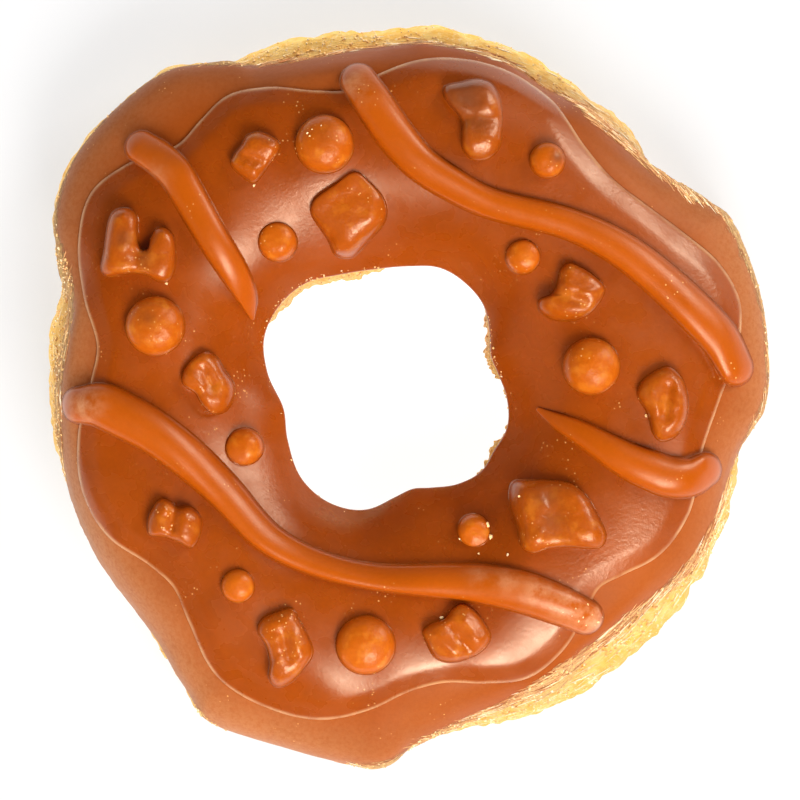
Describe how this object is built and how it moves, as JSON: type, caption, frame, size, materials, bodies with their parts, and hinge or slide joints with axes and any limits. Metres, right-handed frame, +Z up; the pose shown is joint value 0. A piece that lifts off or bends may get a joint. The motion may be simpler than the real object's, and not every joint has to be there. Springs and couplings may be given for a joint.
{
  "type": "glazed dog doughnut",
  "caption": "Ring doughnut treat for dogs with a caramel glaze, a wavy icing layer, drizzled strands, balls and chunks on top.",
  "frame": {"origin": "centre of the overall box in plan, on the surface that the doughnut rests on", "axes": "+Z up through the hole; +X to the right and +Y to the top of a view from above, in which the hole's pointed corner is upper left"},
  "size_m": [0.0973, 0.1, 0.0285],
  "materials": {
    "dough": "dry, fibrous baked dough",
    "glaze": "smooth satin caramel glaze",
    "icing": "satin caramel icing",
    "topping": "satin caramel with fine specks"
  },
  "bodies": {
    "root": {"dough_ring": "dough", "glaze_coat": "glaze", "icing_top": "icing", "ball_01": "topping", "ball_02": "topping", "ball_03": "topping", "ball_04": "topping", "ball_05": "topping", "ball_06": "topping", "ball_07": "topping", "ball_08": "topping", "ball_09": "topping", "ball_10": "topping", "chunk_01": "topping", "chunk_02": "topping", "chunk_03": "topping", "chunk_04": "topping", "chunk_05": "topping", "chunk_06": "topping", "chunk_07": "topping", "chunk_08": "topping", "chunk_09": "topping", "chunk_10": "topping", "chunk_11": "topping"}
  },
  "joints": []
}
